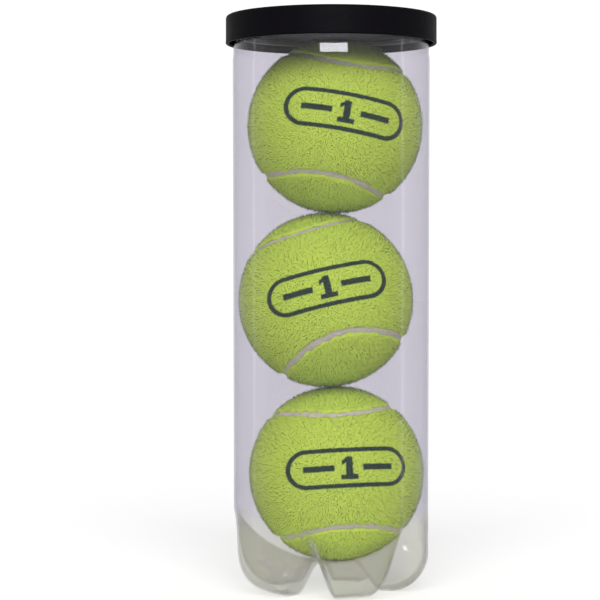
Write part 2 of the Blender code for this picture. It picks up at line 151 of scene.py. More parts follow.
class StageSettings(bpy.types.PropertyGroup):
    """Camera and lamps"""

    distance: length_prop("Distance", "From the camera to the can", 0.815)
    height: length_prop("Height", "Camera above the floor", 0.126)
    tilt: angle_prop("Tilt", "How far the camera looks down", 1.04)
    pan: angle_prop("Pan", "How far the camera looks left", 0.84)
    lens: number_prop("Lens", "Focal length in millimetres", 127.2)
    key: number_prop("Key", "Strength of the high key light from the front", 4.0)
    softbox: number_prop("Softbox", "Power of the softbox that only reflections show, in watts", 7.0)
    strip: number_prop("Strips", "Power of each side lamp, in watts", 0.12)
    fill: number_prop("Fill", "Strength of the even fill light", 0.38)
    backdrop: number_prop("Backdrop", "How bright the backdrop is in reflections", 0.26)


def settings(name):
    """The scene's settings of one group."""
    return getattr(bpy.context.scene, name)


# Meshes


def piece_from(name, points, faces, material, sharp=None):
    """A smooth-shaded mesh object in the scene, of one material."""
    mesh = bpy.data.meshes.new(name)
    mesh.from_pydata([tuple(point) for point in points], [], faces)
    mesh.validate()
    mesh.shade_smooth()
    if sharp is not None:
        mesh.set_sharp_from_angle(angle=math.radians(sharp))
    mesh.materials.append(material)
    piece = bpy.data.objects.new(name, mesh)
    bpy.context.scene.collection.objects.link(piece)
    return piece


def filleted(outline):
    """Points of an open outline of (radius, height, fillet) corners, each corner eased by its fillet."""
    steps = 4
    points = []
    for index, (radius, height, fillet) in enumerate(outline):
        here = Vector((radius, height))
        if fillet <= 0.0 or index in (0, len(outline) - 1):
            points.append(tuple(here))
            continue
        before = Vector(outline[index - 1][:2]) - here
        after = Vector(outline[index + 1][:2]) - here
        reach = min(fillet, 0.49 * before.length, 0.49 * after.length)
        start = here + before.normalized() * reach
        end = here + after.normalized() * reach
        for step in range(steps + 1):
            share = step / steps
            points.append(tuple(start.lerp(here, share).lerp(here.lerp(end, share), share)))
    return points


def turned(name, outline, material, steps=240):
    """Turn an outline about Z. It faces out when it runs up its outer side or out along its underside."""
    points = []
    rings = []
    for radius, height in outline:
        if radius == 0.0:
            rings.append([len(points)] * steps)
            points.append((0.0, 0.0, height))
            continue
        rings.append(list(range(len(points), len(points) + steps)))
        for step in range(steps):
            turn = math.tau * step / steps
            points.append((radius * math.cos(turn), radius * math.sin(turn), height))
    faces = []
    for low, high in zip(rings, rings[1:]):
        for step in range(steps):
            after = (step + 1) % steps
            face = list(dict.fromkeys((low[step], low[after], high[after], high[step])))
            if len(face) > 2:
                faces.append(face)
    return piece_from(name, points, faces, material, 40.0)


def plate(name, loops, material, half, edge, height):
    """A flat plate with eased edges, cut from nested loops of (x, y) points; half is half its thickness."""
    curve = bpy.data.curves.new(name, "CURVE")
    curve.dimensions = "2D"
    curve.fill_mode = "BOTH"
    curve.extrude = half - edge
    curve.bevel_depth = edge
    curve.bevel_resolution = 2
    curve.offset = -edge
    for loop in loops:
        spline = curve.splines.new("POLY")
        spline.points.add(len(loop) - 1)
        spline.use_cyclic_u = True
        for point, (x, y) in zip(spline.points, loop):
            point.co = (x, y, 0.0, 1.0)
    guide = bpy.data.objects.new(name + "_guide", curve)
    bpy.context.scene.collection.objects.link(guide)
    bpy.context.view_layer.update()
    mesh = bpy.data.meshes.new_from_object(guide.evaluated_get(bpy.context.evaluated_depsgraph_get()))
    bpy.data.objects.remove(guide)
    bm = bmesh.new()
    bm.from_mesh(mesh)
    bmesh.ops.remove_doubles(bm, verts=bm.verts[:], dist=0.001 * MM)
    bmesh.ops.recalc_face_normals(bm, faces=bm.faces[:])
    bmesh.ops.translate(bm, verts=bm.verts[:], vec=(0.0, 0.0, height))
    bm.to_mesh(mesh)
    bm.free()
    mesh.name = name
    mesh.shade_smooth()
    mesh.set_sharp_from_angle(angle=math.radians(50.0))
    mesh.materials.clear()
    mesh.materials.append(material)
    piece = bpy.data.objects.new(name, mesh)
    bpy.context.scene.collection.objects.link(piece)
    return piece


def rolled_edge(name, loop, material, radius, height):
    """A curled edge: a round bead that follows a loop of (x, y) points."""
    count = len(loop)
    sides = 12
    points = []
    for index, (x, y) in enumerate(loop):
        before = Vector(loop[index - 1])
        after = Vector(loop[(index + 1) % count])
        along = (after - before).normalized()
        for side in range(sides):
            turn = math.tau * side / sides
            out = radius * math.cos(turn)
            points.append((x + along.y * out, y - along.x * out, height + radius * math.sin(turn)))
    faces = []
    for index in range(count):
        after = (index + 1) % count
        for side in range(sides):
            beside = (side + 1) % sides
            faces.append(
                (index * sides + side, after * sides + side, after * sides + beside, index * sides + beside)
            )
    return piece_from(name, points, faces, material)


def rounded_loop(start, stop, half_width, start_radius, stop_radius, inset=0.0):
    """Loop of (x, y) points round a plate along X with rounded ends, drawn in by an inset."""
    steps = 12
    start, stop, half_width = start + inset, stop - inset, half_width - inset
    start_radius, stop_radius = start_radius - inset, stop_radius - inset
    corners = (
        (stop - stop_radius, half_width - stop_radius, stop_radius, 0.0),
        (start + start_radius, half_width - start_radius, start_radius, 90.0),
        (start + start_radius, start_radius - half_width, start_radius, 180.0),
        (stop - stop_radius, stop_radius - half_width, stop_radius, 270.0),
    )
    loop = []
    for x, y, radius, first in corners:
        for step in range(steps + 1):
            turn = math.radians(first + 90.0 * step / steps)
            loop.append((x + radius * math.cos(turn), y + radius * math.sin(turn)))
    return loop


# Materials

MOST_SKINS = 7


class Wire:
    """A shader socket that can stand in a Python sum; each operator adds the node that works it out."""

    def __init__(self, sheet, socket):
        self.sheet = sheet
        self.socket = socket

    def beside(self, output):
        """Another output of the same node."""
        return Wire(self.sheet, self.socket.node.outputs[output])

    def maths(self, operation, *values):
        """A Math node, or a Vector Math node where a value is a vector."""
        is_vector = any(isinstance(value, Wire) and value.socket.type == "VECTOR" for value in values)
        kind = "ShaderNodeVectorMath" if is_vector else "ShaderNodeMath"
        return self.sheet.node(kind, {"operation": operation}, values)

    def __add__(self, other):
        return self.maths("ADD", self, other)

    def __radd__(self, other):
        return self.maths("ADD", other, self)

    def __sub__(self, other):
        return self.maths("SUBTRACT", self, other)

    def __rsub__(self, other):
        return self.maths("SUBTRACT", other, self)

    def __mul__(self, other):
        return self.maths("MULTIPLY", self, other)

    def __rmul__(self, other):
        return self.maths("MULTIPLY", other, self)

    def __pow__(self, other):
        return self.maths("POWER", self, other)

    def __abs__(self):
        return self.maths("ABSOLUTE", self)

    def least(self, other):
        return self.maths("MINIMUM", self, other)

    def most(self, other):
        return self.maths("MAXIMUM", self, other)

    def above(self, limit):
        """1 where it is above a limit, and 0 elsewhere."""
        return self.maths("GREATER_THAN", self, limit)

    def along(self, direction):
        """How far a place lies along a fixed direction."""
        dot = {"operation": "DOT_PRODUCT"}
        return self.sheet.node("ShaderNodeVectorMath", dot, (self, direction), "Value")

    def ease(self, low, high):
        """0 below low, 1 above high, and smooth between."""
        smooth = {"interpolation_type": "SMOOTHSTEP"}
        inputs = {"Value": self, "From Min": low, "From Max": high}
        return self.sheet.node("ShaderNodeMapRange", smooth, inputs)


class Sheet:
    """The node tree of one material, or of the world."""

    def __init__(self, name, made_in=None):
        self.owner = (bpy.data.materials if made_in is None else made_in).new(name)
        self.owner.use_nodes = True
        self.tree = self.owner.node_tree
        self.tree.nodes.clear()

    def node(self, kind, settings=None, inputs=(), output=0):
        """Add a node, set it, feed its sockets with values or wires, and return the wire of one output."""
        node = self.tree.nodes.new(kind)
        for name, value in (settings or {}).items():
            setattr(node, name, value)
        for name, value in inputs.items() if isinstance(inputs, dict) else enumerate(inputs):
            if isinstance(value, Wire):
                self.tree.links.new(value.socket, node.inputs[name])
            elif node.inputs[name].type == "RGBA" and len(value) == 3:
                node.inputs[name].default_value = (*value, 1.0)
            else:
                node.inputs[name].default_value = value
        return Wire(self, node.outputs[output]) if len(node.outputs) else None

    def place(self):
        """Where a point of the piece is, in metres from the piece's own origin."""
        return self.node("ShaderNodeTexCoord", output="Object")

    def noise(self, place, scale, detail=2.0, roughness=0.5):
        """Cloudy noise from 0 to 1; scale is its lumps per metre."""
        inputs = {"Vector": place, "Scale": scale, "Detail": detail, "Roughness": roughness}
        return self.node("ShaderNodeTexNoise", None, inputs)

    def mix(self, share, first, second):
        """Colour between two colours."""
        return self.node("ShaderNodeMix", {"data_type": "RGBA"}, {0: share, 6: first, 7: second}, 2)

    def bump(self, height, strength, distance):
        """Surface normal from a height; distance is in metres."""
        inputs = {"Height": height, "Strength": strength, "Distance": distance}
        return self.node("ShaderNodeBump", None, inputs)

    def blend(self, share, first, second):
        """Shader between two shaders."""
        return self.node("ShaderNodeMixShader", None, (share, first, second))

    def surface(self, **inputs):
        """A Principled surface; an underscore in a name stands for a space."""
        named = {name.replace("_", " "): value for name, value in inputs.items()}
        return self.node("ShaderNodeBsdfPrincipled", None, named)

    def finish(self, shader):
        """Send a shader to the output and return the material."""
        self.node("ShaderNodeOutputMaterial", None, (shader,))
        return self.owner


def clear_plastic():
    """Clear blown plastic: faintly tinted skins, a light haze, and a mirror at grazing angles.

    Light that has come through MOST_SKINS skins shows a painted glow of the pale room instead of one more
    skin.
    """
    look = settings("can_body_look")
    sheet = Sheet("clear_plastic")
    place = sheet.place()
    height = place.along((0.0, 0.0, 1.0))
    in_base = 1.0 - height.ease(22.0 * MM, 34.0 * MM)
    waves = sheet.noise(place * (1.0, 1.0, 0.25), 90.0, 1.0)
    dimples = sheet.noise(place, 150.0, 1.0) * in_base
    scuffs = sheet.noise(place * (1.0, 1.0, 0.08), 900.0, 3.0, 0.6).ease(0.62, 0.8)
    normal = sheet.bump(waves + dimples * 7.0, 0.12, 1.0 * MM)
    wall, base, edge = (
        sheet.node("ShaderNodeBsdfTransparent", None, {"Color": tint[:]})
        for tint in (look.wall_tint, look.base_tint, look.painted_edge_shade)
    )
    facing = sheet.node("ShaderNodeLayerWeight", None, {"Blend": 0.5, "Normal": normal}, "Facing")
    # Painted shade: seen edge on, the base is tinted dark olive in place of the darker things that
    # refraction shows there
    seen = sheet.blend(in_base, wall, sheet.blend(facing**4.0 * 0.7, base, edge))
    haze = sheet.surface(Base_Color=(0.86, 0.86, 0.88), Roughness=0.5)
    cloudy = sheet.blend(0.012 + scuffs * 0.03, seen, haze)
    gloss = {"Color": (0.95, 0.95, 1.0), "Roughness": 0.045, "Normal": normal}
    mirror = sheet.node("ShaderNodeBsdfGlossy", None, gloss)
    clear = sheet.blend(0.045 + 0.955 * facing**5.0, cloudy, mirror)
    # Painted glow: where too many skins lie behind each other, the plastic glows pale in place of the room
    # seen through them
    pale = sheet.node("ShaderNodeEmission", None, {"Color": (0.72, 0.72, 0.68)})
    many_skins = sheet.node("ShaderNodeLightPath", output="Transparent Depth").above(MOST_SKINS - 0.5)
    return sheet.finish(sheet.blend(many_skins, clear, pale))


def bright_sheet(name, direction=(1.0, 0.04, 1.0)):
    """Bright rolled aluminium: fine rolling lines, faint dull patches and small dents."""
    look = settings("metal_look")
    sheet = Sheet(name)
    place = sheet.place()
    lines = sheet.noise(place * direction, 5000.0, 2.0)
    patches = sheet.noise(place, 160.0, 3.0)
    tone = tuple(0.86 * channel for channel in look.colour)
    metal_colour = sheet.mix(patches.ease(0.35, 0.7) * 0.5 + lines * 0.5, tone, look.colour[:])
    # Painted shade: faces that look down are painted near black and non-metal, in place of the shade under
    # the end, the panel and the tab
    upright = sheet.node("ShaderNodeNewGeometry", output="Normal").along((0.0, 0.0, 1.0)).ease(-0.7, -0.3)
    colour = sheet.mix(upright, look.painted_shade[:], metal_colour)
    roughness = 0.16 + lines * 0.10 + patches * 0.08
    normal = sheet.bump(lines + patches * 3.0, 0.25, 0.02 * MM)
    return sheet.finish(
        sheet.surface(
            Base_Color=colour, Metallic=upright, Roughness=roughness, Normal=normal, Specular_IOR_Level=0.04
        )
    )


def cap_plastic():
    """Soft black plastic: satin, with fine moulding texture, scuffs and dust."""
    look = settings("cap_look")
    sheet = Sheet("cap_plastic")
    place = sheet.place()
    pores = sheet.noise(place, 4500.0, 2.0)
    cloud = sheet.noise(place, 220.0, 3.0)
    scratches = sheet.noise(place * (0.05, 0.6, 2.5), 2600.0, 2.0).ease(0.66, 0.74)
    worn = scratches * cloud.ease(0.45, 0.7)
    colour = sheet.mix(worn * 0.35, look.colour[:], (0.05, 0.05, 0.055))
    roughness = 0.42 + cloud * 0.14 + worn * 0.2
    normal = sheet.bump(pores + cloud * 4.0, 0.2, 0.03 * MM)
    return sheet.finish(
        sheet.surface(Base_Color=colour, Roughness=roughness, Normal=normal, Specular_IOR_Level=0.05)
    )


def printed_mark(sheet, place, facing, lift, tilt):
    """Mask of the ball's number in a capsule ring, printed where the ball faces those angles."""
    turn = Euler((-math.radians(lift), 0.0, math.radians(facing))).to_matrix()
    outward = turn @ Vector((0.0, -1.0, 0.0))
    level = turn @ Vector((1.0, 0.0, 0.0))
    up = turn @ Vector((0.0, 0.0, 1.0))
    slope = math.radians(tilt)
    across = level * math.cos(slope) + up * math.sin(slope)
    above = up * math.cos(slope) - level * math.sin(slope)
    rough = sheet.noise(place, 1500.0, 3.0, 0.7)
    x = place.along(across) * 1000.0 + (rough - 0.5) * 0.9
    y = place.along(above) * 1000.0 + (rough - 0.5) * 0.9
    front = place.along(outward).ease(0.0, 5.0 * MM)

    def box(centre_x, centre_y, half_x, half_y, slant=0.0):
        """Signed distance to a bar."""
        aside = abs(x - centre_x) - half_x
        over = abs(y - centre_y + (x - centre_x) * slant) - half_y
        return aside.most(over)

    straight = (abs(x) - 15.2).most(0.0)
    capsule = abs((straight * straight + y * y) ** 0.5 - 6.6) - 0.8
    digit = box(0.2, 0.0, 1.3, 4.0).least(box(0.2, -3.4, 3.2, 0.9)).least(box(-1.1, 2.7, 1.5, 0.8, -0.6))
    bars = box(-11.0, 0.0, 5.6, 1.1).least(box(11.0, 0.0, 5.6, 1.1))
    print_distance = capsule.least(digit).least(bars)
    ink = 1.0 - print_distance.ease(-0.25, 0.3)
    return ink * front * (1.0 - rough.ease(0.66, 0.85) * 0.3)


def felt(name, mark):
    """Brushed felt: matted lumps, fine nap, paler worn tips and a printed number."""
    look = settings("ball_look")
    sheet = Sheet(name)
    place = sheet.place()
    matted = sheet.noise(place, 420.0, 3.0, 0.6)
    nap = sheet.noise(place, 2400.0, 3.0, 0.65)
    tone = look.felt_colour[:]
    deep = tuple(0.84 * channel for channel in tone)
    pale = (min(1.0, tone[0] * 1.16), min(1.0, tone[1] * 1.10), tone[2] * 1.5)
    soft = sheet.mix(matted.ease(0.3, 0.7), deep, tone)
    grain = sheet.noise(place, 1500.0, 2.0).ease(0.35, 0.65)
    speckled = sheet.mix(grain * 0.75, tuple(0.78 * channel for channel in tone), pale)
    fluffy = sheet.mix(0.65, soft, speckled)
    ink = printed_mark(sheet, place, *mark)
    colour = sheet.mix(ink, fluffy, look.ink_colour[:])
    normal = sheet.bump(nap, 0.3, 0.15 * MM)
    return sheet.finish(
        sheet.surface(
            Base_Color=colour,
            Roughness=0.95,
            Normal=normal,
            Specular_IOR_Level=0.15,
            Sheen_Weight=0.3,
            Sheen_Roughness=0.5,
            Sheen_Tint=(0.85, 1.0, 0.35),
        )
    )


def seam_rubber():
    """Grey-beige seam rubber, dusty, with yellow fluff caught in it."""
    look = settings("ball_look")
    sheet = Sheet("ball_seam_rubber")
    place = sheet.place()
    dust = sheet.noise(place, 700.0, 4.0, 0.6)
    grain = sheet.noise(place, 2600.0, 2.0)
    tone = look.seam_colour[:]
    fluff = tuple(0.6 * channel + 0.4 * yellow for channel, yellow in zip(tone, look.felt_colour))
    base = sheet.mix(dust.ease(0.35, 0.7), tuple(0.8 * channel for channel in tone), tone)
    colour = sheet.mix(grain.ease(0.62, 0.75) * 0.6, base, fluff)
    normal = sheet.bump(dust + grain * 0.4, 0.5, 0.2 * MM)
    return sheet.finish(sheet.surface(Base_Color=colour, Roughness=0.75 + dust * 0.15, Normal=normal))


def hidden_rubber(name, dark, light, scale):
    """Rubber or compound of an inner piece: mottled, with a moulded grain."""
    sheet = Sheet(name)
    place = sheet.place()
    mottle = sheet.noise(place, scale, 4.0, 0.6)
    grain = sheet.noise(place, scale * 9.0, 2.0)
    colour = sheet.mix(mottle.ease(0.3, 0.7), dark, light)
    normal = sheet.bump(mottle + grain * 0.4, 0.4, 0.15 * MM)
    return sheet.finish(sheet.surface(Base_Color=colour, Roughness=0.65 + grain * 0.2, Normal=normal))


def studio_floor():
    """Pale floor, a little bright by itself so that it runs into the white behind."""
    sheet = Sheet("studio_floor")
    tone = sheet.noise(sheet.place(), 12.0, 3.0)
    colour = sheet.mix(tone, (0.46, 0.46, 0.46), (0.48, 0.48, 0.48))
    return sheet.finish(
        sheet.surface(
            Base_Color=colour,
            Roughness=0.6 + tone * 0.1,
            Emission_Color=(1.0, 1.0, 1.0, 1.0),
            Emission_Strength=0.50,
        )
    )


# Clear body

FEET = 5
FOOT_FLANK = math.radians(22.0)
HUB_RADIUS = 8.0 * MM
LAND_INSET = 17.15 * MM
LAND_WIDTH = 2.5 * MM
HEEL_HEIGHT = 14.4 * MM
VALLEY_INSET = 2.0 * MM
# Pairs of (rise, swell) in millimetres
MOULD_LINE = ((0.0, 0.0), (0.15, 0.05), (0.35, 0.05), (0.5, 0.0))
NECK_HEIGHT = 10.75 * MM
NECK_SLOPE_HEIGHT = 3.2 * MM
FLANGE_WIDTH = 0.8 * MM


def valley_height(radius, look):
    """Height of the bowl between the feet: a sphere from the base's middle to the wall."""
    rise = look.base_height - look.base_rise
    reach = look.radius - look.draft
    sphere = (reach**2 + rise**2) / (2.0 * rise)
    return look.base_rise + sphere - math.sqrt(sphere**2 - radius**2)


def foot_share(turn):
    """How far the base reaches down to a foot at an angle: 1 on a foot, 0 in a valley."""
    pitch = math.tau / FEET
    from_foot = abs((turn + pitch / 2.0) % pitch - pitch / 2.0)
    share = min(1.0, (pitch / 2.0 - from_foot) / FOOT_FLANK)
    return share * share * (3.0 - 2.0 * share)


def base_stations(look):
    """Pairs of (radius, height) points from hub to wall: one on a foot, one in a valley."""
    reach = look.radius - look.draft
    land = reach - LAND_INSET
    heel = land + LAND_WIDTH
    inner_reach = reach - VALLEY_INSET
    hub_height = valley_height(HUB_RADIUS, look)
    stations = []
    for share in (0.2, 0.4, 0.6, 0.8):
        radius = HUB_RADIUS * share
        stations.append(((radius, valley_height(radius, look)),) * 2)
    for share in np.linspace(0.0, 1.0, 17):
        radius = HUB_RADIUS + share * (land - HUB_RADIUS)
        height = hub_height * (1.0 + math.cos(math.pi * share)) / 2.0
        stations.append(((radius, height), (radius, valley_height(radius, look))))
    for share in np.linspace(0.0, 1.0, 21):
        radius = heel + (reach - heel) * math.sin(math.pi / 2.0 * share)
        height = HEEL_HEIGHT * (1.0 - math.cos(math.pi / 2.0 * share))
        inner = heel + (inner_reach - heel) * share
        stations.append(((radius, height), (inner, valley_height(inner, look))))
    for share in np.linspace(0.0, 1.0, 13)[1:]:
        height = HEEL_HEIGHT + share * (look.base_height - HEEL_HEIGHT)
        inner = inner_reach + share * (reach - inner_reach)
        stations.append(((reach, height), (inner, valley_height(inner, look))))
    return stations


def body_outline(look):
    """Outline above the base: draft up the wall, mould line, step in to the neck, and flange."""
    neck_top = CAN_TOP - look.wall
    neck_low = neck_top - NECK_HEIGHT
    shoulder = neck_low - NECK_SLOPE_HEIGHT
    base = look.radius - look.draft
    line = look.base_height + 1.0 * MM
    corners = [(base + swell * MM, line + rise * MM, 0.0) for rise, swell in MOULD_LINE]
    for step in range(1, 8):
        share = step / 8.0
        corners.append((base + share * look.draft, line + share * (shoulder - line), 0.0))
    corners += [
        (look.radius, shoulder, 0.5 * MM),
        (look.neck, neck_low, 0.5 * MM),
        (look.neck, neck_top, 0.4 * MM),
        (look.neck + FLANGE_WIDTH, neck_top, 0.0),
    ]
    return filleted(corners)


class BALLCAN_OT_body(bpy.types.Operator):
    """Build the clear body with its base of hollow feet"""

    bl_idname = "ballcan.body"
    bl_label = "Clear Body"

    def execute(self, context):
        look = settings("can_body_look")
        steps = 300
        points = [(0.0, 0.0, look.base_rise)]
        rings = []
        stations = base_stations(look) + [(point, point) for point in body_outline(look)]
        for foot, valley in stations:
            rings.append(range(len(points), len(points) + steps))
            for step in range(steps):
                turn = math.tau * step / steps
                share = foot_share(turn)
                radius = valley[0] + share * (foot[0] - valley[0])
                height = valley[1] + share * (foot[1] - valley[1])
                points.append((radius * math.cos(turn), radius * math.sin(turn), height))
        faces = []
        for step in range(steps):
            after = (step + 1) % steps
            faces.append((0, rings[0][after], rings[0][step]))
            for inner, outer in zip(rings, rings[1:]):
                faces.append((inner[step], inner[after], outer[after], outer[step]))
        body = piece_from("clear_body", points, faces, clear_plastic(), 60.0)
        wall = body.modifiers.new("Wall", "SOLIDIFY")
        wall.thickness = look.wall
        wall.offset = -1.0
        wall.use_even_offset = True
        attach(body, "can")
        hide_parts("can_body")
        return {"FINISHED"}


# Metal end and ring pull

SEAM_HEIGHT = 3.2 * MM
CHUCK_GAP = 0.3 * MM
SCORE_WIDTH = 0.4 * MM
BEAD_INSET = 2.6 * MM
BEAD_HEIGHT = 0.5 * MM
TAB_EDGE = 2.8 * MM
TAB_FINGER = 10.0 * MM
TONGUE_GAP = 0.3 * MM
RIVET_HOLE = 1.9 * MM


class BALLCAN_OT_end(bpy.types.Operator):
    """Build the metal end: rim ring, tear panel and rivet"""

    bl_idname = "ballcan.metal_end"
    bl_label = "Metal End"

    def execute(self, context):
        look = settings("metal_look")
        sheet = look.sheet
        seam = RING_HIGH.x
        top, floor = RING_HIGH.z, RING_LOW.z
        neck = settings("can_body_look").neck
        chuck = neck - settings("can_body_look").wall - CHUCK_GAP
        opening = chuck - 2.0 * sheet - SCORE_WIDTH
        lip = PANEL_LOW.z + sheet
        hook = top - SEAM_HEIGHT
        ring = [
            (opening, lip, 0.0),
            (opening, floor, 0.4 * MM),
            (chuck, floor, 0.4 * MM),
            (chuck, top - sheet, 0.5 * MM),
            (seam - sheet, top - sheet, 0.5 * MM),
            (seam - sheet, hook + sheet, 0.3 * MM),
            (neck + 0.3 * MM, hook + sheet, 0.0),
            (neck + 0.3 * MM, hook, 0.0),
            (seam, hook, 0.5 * MM),
            (seam, top, 0.8 * MM),
            (chuck - sheet, top, 0.8 * MM),
            (chuck - sheet, floor + sheet, 0.2 * MM),
            (opening + sheet, floor + sheet, 0.2 * MM),
            (opening + sheet, lip, 0.0),
        ]
        metal = bright_sheet("end_ring_aluminium")
        outline = filleted(ring)
        rim = turned("end_ring_rolled", outline + outline[:1], metal)
        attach(rim, "can")
        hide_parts("end_ring")

        reach = PANEL_HIGH.x
        bead = reach - BEAD_INSET
        height = PANEL_LOW.z
        lower = [
            (0.0, height, 0.0),
            (0.45 * reach, height, 0.0),
            (bead - 1.6 * MM, height, 0.4 * MM),
            (bead - 1.1 * MM, height + BEAD_HEIGHT, 0.4 * MM),
            (bead - 0.5 * MM, height + BEAD_HEIGHT, 0.4 * MM),
            (bead, height, 0.4 * MM),
            (reach - 0.5 * MM, height, 0.0),
            (reach - 0.35 * MM, height + 0.12 * MM, 0.0),
            (reach, height + 0.12 * MM, 0.0),
        ]
        upper = [(radius, level + sheet, ease) for radius, level, ease in reversed(lower)]
        metal = bright_sheet("tear_panel_aluminium", (0.04, 1.0, 1.0))
        panel = turned("tear_panel_stamped", filleted(lower + upper), metal)
        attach(panel, "torn_panel")
        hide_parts("tear_panel")

        head_top = PANEL_HIGH.z
        head = [
            (1.6 * MM, height + 0.5 * sheet, 0.0),
            (1.6 * MM, head_top - 0.45 * MM, 0.1 * MM),
            (2.6 * MM, head_top - 0.45 * MM, 0.2 * MM),
            (2.5 * MM, head_top, 0.4 * MM),
            (1.3 * MM, head_top, 0.3 * MM),
            (0.8 * MM, head_top - 0.2 * MM, 0.3 * MM),
            (0.0, head_top - 0.2 * MM, 0.0),
        ]
        rivet = turned("rivet_head", filleted(head), metal, 64)
        rivet.location.x = (TONGUE_LOW.x + TONGUE_HIGH.x) / 2.0
        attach(rivet, "torn_panel")
        return {"FINISHED"}


class BALLCAN_OT_ring_pull(bpy.types.Operator):
    """Build the ring pull: its web, its curled edges and the tongue under the rivet"""

    bl_idname = "ballcan.ring_pull"
    bl_label = "Ring Pull"

    def execute(self, context):
        start, stop = TAB_LOW.x, TAB_HIGH.x
        half_width = TAB_HIGH.y
        middle = (TAB_LOW.z + TAB_HIGH.z) / 2.0
        curl = (TAB_HIGH.z - TAB_LOW.z) / 2.0
        hole_half = half_width - TAB_EDGE
        hole_corner = hole_half - 0.3 * MM
        hole_stop = stop - TAB_EDGE
        tongue = (TONGUE_LOW.x, TONGUE_HIGH.x, TONGUE_HIGH.y)
        window = rounded_loop(
            tongue[0] - TONGUE_GAP, tongue[1] + TONGUE_GAP, tongue[2] + TONGUE_GAP, 0.5 * MM, 2.5 * MM
        )
        finger = (hole_stop - TAB_FINGER, hole_stop, hole_half, hole_corner / 2.0, hole_corner * 0.8)
        outer = (start, stop, half_width, 4.0 * MM, 7.5 * MM)
        metal = bright_sheet("pull_tab_aluminium", (0.06, 1.0, 1.0))
        web_loops = (
            rounded_loop(*outer, inset=curl * 0.7),
            rounded_loop(*finger, inset=-curl * 0.7),
            window,
        )
        web = plate("ring_pull_web", web_loops, metal, 0.22 * MM, 0.08 * MM, middle)
        rim = rolled_edge("ring_pull_rim", rounded_loop(*outer, inset=curl), metal, curl, middle)
        eye = rolled_edge("ring_pull_eye", rounded_loop(*finger, inset=-curl), metal, curl, middle)
        for piece in (web, rim, eye):
            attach(piece, "ring_pull")
            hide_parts("pull_tab")

        metal = bright_sheet("tab_tongue_aluminium", (0.06, 1.0, 1.0))
        rivet = (TONGUE_LOW.x + TONGUE_HIGH.x) / 2.0
        turns = [math.tau * step / 48 for step in range(48)]
        hole = [(rivet + RIVET_HOLE * math.cos(turn), RIVET_HOLE * math.sin(turn)) for turn in turns]
        loops = (rounded_loop(*tongue, 0.4 * MM, 2.5 * MM), hole)
        half = (TONGUE_HIGH.z - TONGUE_LOW.z) / 2.0
        height = (TONGUE_HIGH.z + TONGUE_LOW.z) / 2.0
        piece = plate("ring_pull_tongue", loops, metal, half, 0.06 * MM, height)
        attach(piece, "torn_panel")
        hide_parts("tab_tongue")
        return {"FINISHED"}


# Cap

CAP_BEAD = 0.3 * MM
CAP_HEM = 0.06 * MM


class BALLCAN_OT_cap(bpy.types.Operator):
    """Build the push-on cap with its rim, recess, skirt and inner bead"""

    bl_idname = "ballcan.cap"
    bl_label = "Cap"

    def execute(self, context):
        look = settings("cap_look")
        radius, top, bottom = CAP_HIGH.x, CAP_HIGH.z, CAP_LOW.z
        inner = radius - look.wall
        under = top - look.top
        rim = radius - look.rim
        bead = inner - CAP_BEAD
        floor = top - look.recess
        outline = [
            (0.0, under - look.recess, 0.0),
            (rim - look.recess, under - look.recess, 0.3 * MM),
            (rim, under, 0.3 * MM),
            (inner, under, 0.6 * MM),
            (inner, bottom + 1.4 * MM, 0.4 * MM),
            (bead, bottom + 1.1 * MM, 0.3 * MM),
            (bead, bottom + 0.3 * MM, 0.3 * MM),
            (inner, bottom, 0.2 * MM),
            (radius - 0.25 * MM, bottom, 0.1 * MM),
            (radius, bottom + 0.3 * MM, 0.15 * MM),
            (radius, bottom + 0.9 * MM, 0.1 * MM),
            (radius - CAP_HEM, bottom + 1.1 * MM, 0.1 * MM),
            (radius - CAP_HEM, top, 1.3 * MM),
            (rim + 0.8 * MM, top, 0.25 * MM),
            (rim - look.recess, floor, 0.5 * MM),
            (0.62 * rim, floor, 0.1 * MM),
            (0.61 * rim, floor - 0.12 * MM, 0.1 * MM),
            (0.60 * rim, floor, 0.1 * MM),
            (3.0 * MM, floor, 0.2 * MM),
            (2.4 * MM, floor - 0.3 * MM, 0.2 * MM),
            (0.0, floor - 0.3 * MM, 0.0),
        ]
        cap = turned("push_on_cap", filleted(outline), cap_plastic(), 300)
        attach(cap, "lid")
        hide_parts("cap")
        return {"FINISHED"}


# Balls

# How each ball is turned about X, Y and Z, and where its number faces, its lift and its tilt, in degrees
BALL_TURNS = {
    "ball_bottom": (78.0, -47.5, 14.9),
    "ball_middle": (-122.4, -58.5, 24.3),
    "ball_top": (93.8, 35.4, -177.8),
}
BALL_MARKS = {
    "ball_bottom": (8.0, 9.3, 2.0),
    "ball_middle": (1.0, 9.8, 13.0),
    "ball_top": (7.3, 6.0, -10.0),
}
SEAM_WAVE = 0.18
EDGE_ROUNDING = 0.45 * MM
EDGE_OVERLAP = 0.25 * MM
RAGGEDNESS = 0.95 * MM
LUMPS = 0.06 * MM
SEAM_DEPTH = 0.85 * MM
SEAM_MARGIN = 0.4 * MM


def seam_points(turn):
    """Directions from a ball's centre to the middle of its seam, for an array of places round it."""
    wide = 1.0 - SEAM_WAVE
    x = wide * np.cos(turn) + SEAM_WAVE * np.cos(3.0 * turn)
    y = wide * np.sin(turn) - SEAM_WAVE * np.sin(3.0 * turn)
    return np.stack((x, y, 2.0 * math.sqrt(wide * SEAM_WAVE) * np.sin(2.0 * turn)), -1)


def unit(vectors):
    """Vectors of length 1."""
    return vectors / np.linalg.norm(vectors, axis=-1, keepdims=True)


def seam_sides(turn):
    """Directions across the seam at those places."""
    step = 1e-4
    return unit(np.cross(seam_points(turn), seam_points(turn + step) - seam_points(turn - step)))


